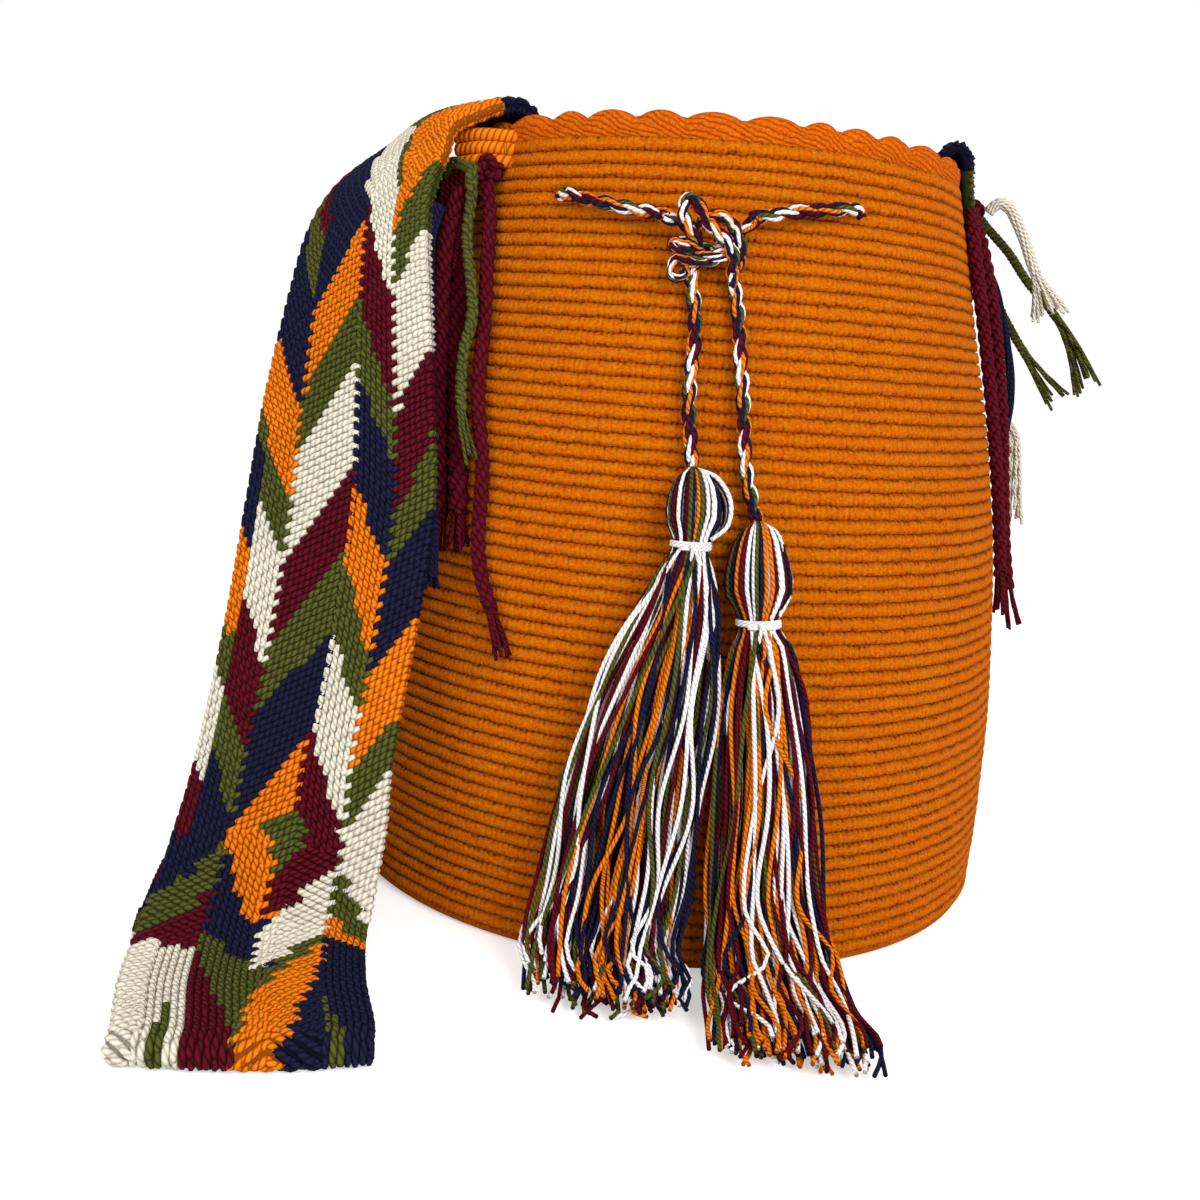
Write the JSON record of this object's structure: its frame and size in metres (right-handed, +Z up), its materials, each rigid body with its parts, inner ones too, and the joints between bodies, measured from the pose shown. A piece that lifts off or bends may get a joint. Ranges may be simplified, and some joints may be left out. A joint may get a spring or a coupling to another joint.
{
  "type": "crocheted bucket bag",
  "caption": "Crocheted cylindrical bucket bag with a scalloped mouth, a wide woven shoulder strap and a knotted drawstring that ends in long tassels.",
  "frame": {"origin": "centre of the flat base, on the floor", "axes": "+Z up along the bag's axis, -Y towards the front where the drawstring is knotted, +X to the right seen from the front"},
  "size_m": [0.3602, 0.3594, 0.2908],
  "materials": {
    "orange_cotton": "matt crocheted cotton",
    "strap_cotton": "matt woven cotton in five colours",
    "mixed_cotton": "matt plied cotton of five colours",
    "cream_cotton": "matt cotton yarn",
    "burgundy_cotton": "matt cotton yarn",
    "olive_cotton": "matt cotton yarn",
    "navy_cotton": "matt cotton yarn"
  },
  "bodies": {
    "root": {"bag_body": "orange_cotton", "shoulder_strap": "strap_cotton", "drawstring_cord": "mixed_cotton", "drawstring_knot": "mixed_cotton", "drawstring_tail_left": "mixed_cotton", "drawstring_tail_right": "mixed_cotton", "tassel_left": "mixed_cotton", "tassel_binding_left": "cream_cotton", "tassel_right": "mixed_cotton", "tassel_binding_right": "cream_cotton", "tie_knot_left": "burgundy_cotton", "tie_knot_right": "burgundy_cotton", "left_braid_burgundy_a": "burgundy_cotton", "left_braid_burgundy_b": "burgundy_cotton", "left_braid_burgundy_c": "burgundy_cotton", "left_braid_olive": "olive_cotton", "left_strands_navy": "navy_cotton", "right_braid_burgundy_a": "burgundy_cotton", "right_braid_burgundy_b": "burgundy_cotton", "right_braid_cream_a": "cream_cotton", "right_braid_olive_a": "olive_cotton", "right_braid_olive_b": "olive_cotton", "right_braid_cream_b": "cream_cotton", "right_strands_navy": "navy_cotton"}
  },
  "joints": []
}
